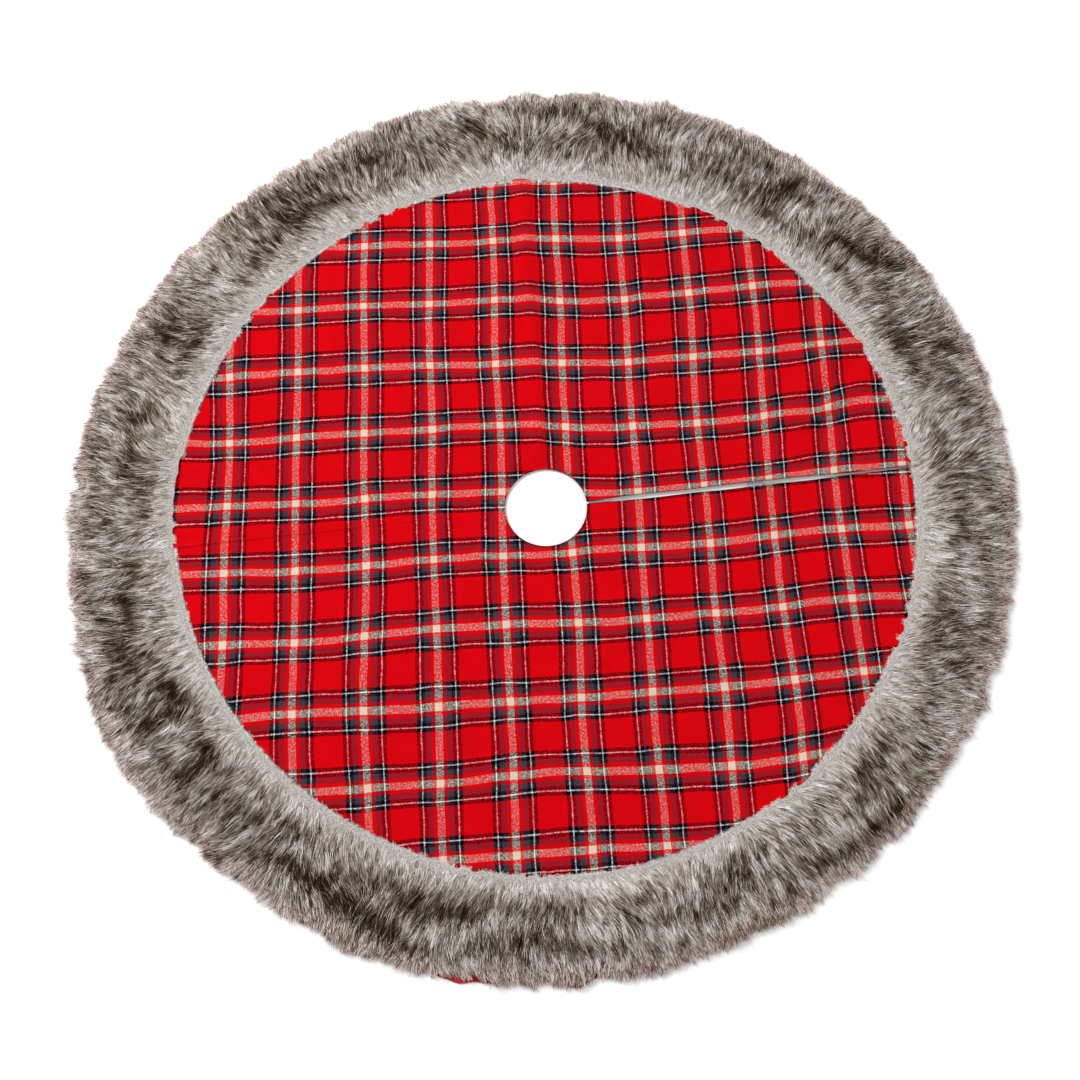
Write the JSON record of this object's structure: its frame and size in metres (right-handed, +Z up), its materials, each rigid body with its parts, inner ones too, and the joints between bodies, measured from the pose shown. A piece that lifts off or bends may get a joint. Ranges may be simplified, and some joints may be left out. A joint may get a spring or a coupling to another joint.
{
  "type": "tree skirt",
  "caption": "Round plaid tree skirt with a red lining and a wide faux-fur rim, a centre hole and a radial slit that hook-and-loop tabs hold shut.",
  "frame": {"origin": "centre of the trunk hole, at the surface that the skirt lies on", "axes": "+Z up, +X out along the slit, +Y towards the flap that folds back first"},
  "size_m": [1.22, 1.22, 0.02],
  "materials": {
    "plaid": "brushed red tartan flannel",
    "lining": "plain red non-woven cloth",
    "fur": "long grey-brown faux-fur pile with pale tips",
    "red_thread": "polyester thread",
    "grey_thread": "polyester thread",
    "hook_tape": "white hook tape",
    "loop_tape": "white loop tape",
    "label": "blank white satin ribbon"
  },
  "bodies": {
    "skirt_back": {"plaid_top_back": "plaid", "lining_back": "lining", "fur_trim_back_left": "fur", "fur_trim_back_right": "fur", "edge_seam_back": "red_thread", "trim_seam_back": "grey_thread", "rim_seam_back": "red_thread", "fur_joint_seam_90": "grey_thread", "fur_joint_seam_180": "grey_thread", "fur_joint_seam_270": "grey_thread"},
    "left_flap": {"plaid_top_left_flap": "plaid", "lining_left_flap": "lining", "fur_trim_left_flap": "fur", "edge_seam_left_flap": "red_thread", "trim_seam_left_flap": "grey_thread", "rim_seam_left_flap": "red_thread", "hook_strip_inner": "hook_tape", "hook_strip_middle": "hook_tape", "hook_strip_outer": "hook_tape", "closure_stitching_left": "red_thread"},
    "right_flap": {"plaid_top_right_flap": "plaid", "lining_right_flap": "lining", "fur_trim_right_flap": "fur", "edge_seam_right_flap": "red_thread", "trim_seam_right_flap": "grey_thread", "rim_seam_right_flap": "red_thread", "loop_tab_inner": "loop_tape", "loop_tab_middle": "loop_tape", "loop_tab_outer": "loop_tape", "closure_stitching_right": "red_thread", "care_label": "label"}
  },
  "joints": [
    {"name": "left_fold", "type": "hinge", "parent": "skirt_back", "child": "left_flap", "pos_m": [0, 0.3, 0.011], "axis": [0, -1, 0], "range_deg": [0, 150]},
    {"name": "right_fold", "type": "hinge", "parent": "skirt_back", "child": "right_flap", "pos_m": [0, -0.3, 0.011], "axis": [0, -1, 0], "range_deg": [0, 120]}
  ],
  "couplings": [
    {"joint": "right_fold", "follows": "left_fold", "ratio": 0.8}
  ]
}
